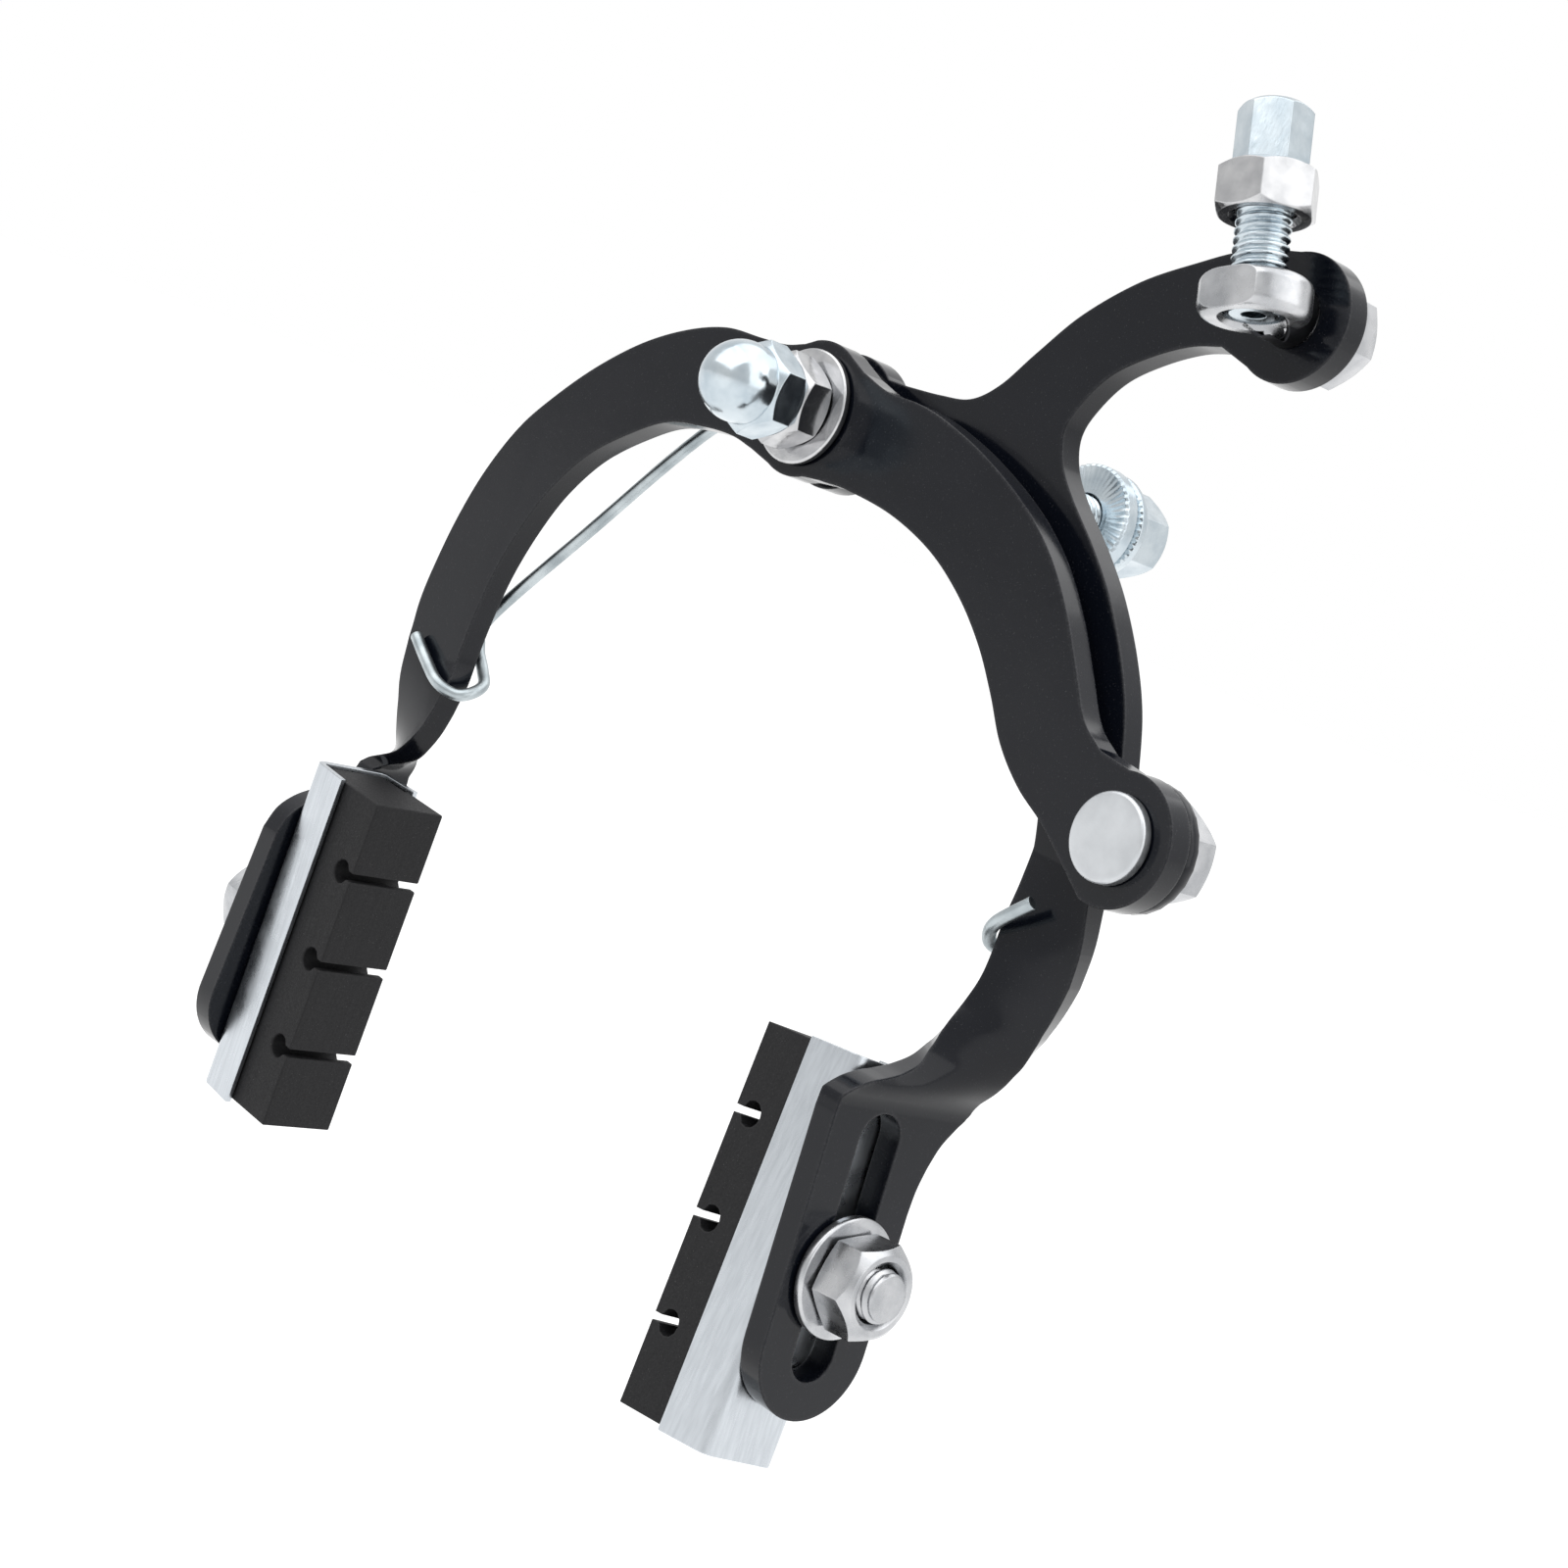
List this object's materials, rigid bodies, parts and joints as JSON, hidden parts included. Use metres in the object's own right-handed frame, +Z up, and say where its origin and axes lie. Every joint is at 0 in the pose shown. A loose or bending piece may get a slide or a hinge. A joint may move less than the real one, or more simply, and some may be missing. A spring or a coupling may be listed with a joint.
{
  "type": "side-pull caliper brake",
  "caption": "Side-pull caliper brake: crossed arms on a centre bolt, sprung open, with slotted ends that carry rubber shoes, a cable anchor and an adjuster.",
  "frame": {"origin": "on the centre bolt's axis, at the rear face of the front arm", "axes": "+X to the right across the wheel as seen from the brake's front, +Y backwards along the centre bolt towards the mounting nut, +Z up"},
  "size_m": [0.1383, 0.0832, 0.1573],
  "materials": {
    "black_paint": "glossy black enamel",
    "chrome_plate": "bright plate",
    "zinc_plate": "blue-white zinc plate",
    "steel_channel": "satin plated sheet",
    "brake_rubber": "matt moulded rubber"
  },
  "bodies": {
    "bolt_group": {"centre_bolt": "zinc_plate", "acorn_nut": "zinc_plate", "front_lock_nut": "chrome_plate", "front_washer": "chrome_plate", "thrust_washer_1": "chrome_plate", "thrust_washer_2": "chrome_plate", "rear_washer": "zinc_plate", "spring_holder": "zinc_plate", "return_spring": "zinc_plate", "toothed_washer": "zinc_plate", "mounting_nut": "zinc_plate"},
    "front_arm": {"front_arm": "black_paint"},
    "rear_arm": {"rear_arm": "black_paint"},
    "cable_anchor": {"anchor_bolt": "chrome_plate", "anchor_washer": "black_paint", "anchor_nut": "chrome_plate"},
    "adjuster_swivel": {"adjuster_stud": "chrome_plate", "adjuster_stud_nut": "chrome_plate"},
    "adjuster_screw": {"adjuster_barrel": "zinc_plate", "adjuster_lock_nut": "chrome_plate"},
    "left_clamp": {"left_pad_nut": "chrome_plate", "left_pad_washer": "chrome_plate"},
    "left_shoe": {"left_pad_rubber": "brake_rubber", "left_pad_holder": "steel_channel", "left_pad_stud": "chrome_plate"},
    "right_clamp": {"right_pad_nut": "chrome_plate", "right_pad_washer": "chrome_plate"},
    "right_shoe": {"right_pad_rubber": "brake_rubber", "right_pad_holder": "steel_channel", "right_pad_stud": "chrome_plate"}
  },
  "joints": [
    {"name": "front_arm_swing", "type": "hinge", "parent": "bolt_group", "child": "front_arm", "pos_m": [0, 0, 0], "axis": [0, -1, 0], "range_deg": [0, 17], "stiffness_Nm_per_rad": 1, "springref_deg": -11.46, "deforming": ["return_spring"]},
    {"name": "rear_arm_swing", "type": "hinge", "parent": "bolt_group", "child": "rear_arm", "pos_m": [0, 0, 0], "axis": [0, 1, 0], "range_deg": [0, 17], "stiffness_Nm_per_rad": 1, "springref_deg": -11.46, "deforming": ["return_spring"]},
    {"name": "cable_anchor_swivel", "type": "hinge", "parent": "front_arm", "child": "cable_anchor", "pos_m": [0.0666, 0, -0.0309], "axis": [0, 1, 0], "range_deg": [-45, 45]},
    {"name": "adjuster_swivel", "type": "hinge", "parent": "rear_arm", "child": "adjuster_swivel", "pos_m": [0.0585, 0, 0.0265], "axis": [0, 1, 0], "range_deg": [-30, 30]},
    {"name": "adjuster_screw_travel", "type": "slide", "parent": "adjuster_swivel", "child": "adjuster_screw", "axis": [-0.3256, 0, 0.9455], "range_m": [-0.0037, 0.0035]},
    {"name": "left_slot_travel", "type": "slide", "parent": "front_arm", "child": "left_clamp", "axis": [0.048, 0, 0.9988], "range_m": [-0.011, 0]},
    {"name": "left_shoe_turn", "type": "hinge", "parent": "left_clamp", "child": "left_shoe", "pos_m": [-0.0549, -0.007, -0.0865], "axis": [-0.9988, 0, 0.048], "range_deg": [-30, 30]},
    {"name": "right_slot_travel", "type": "slide", "parent": "rear_arm", "child": "right_clamp", "axis": [-0.0976, 0, 0.9952], "range_m": [-0.0085, 0.001]},
    {"name": "right_shoe_turn", "type": "hinge", "parent": "right_clamp", "child": "right_shoe", "pos_m": [0.0549, -0.007, -0.0857], "axis": [0.9952, 0, 0.0976], "range_deg": [-30, 30]}
  ]
}
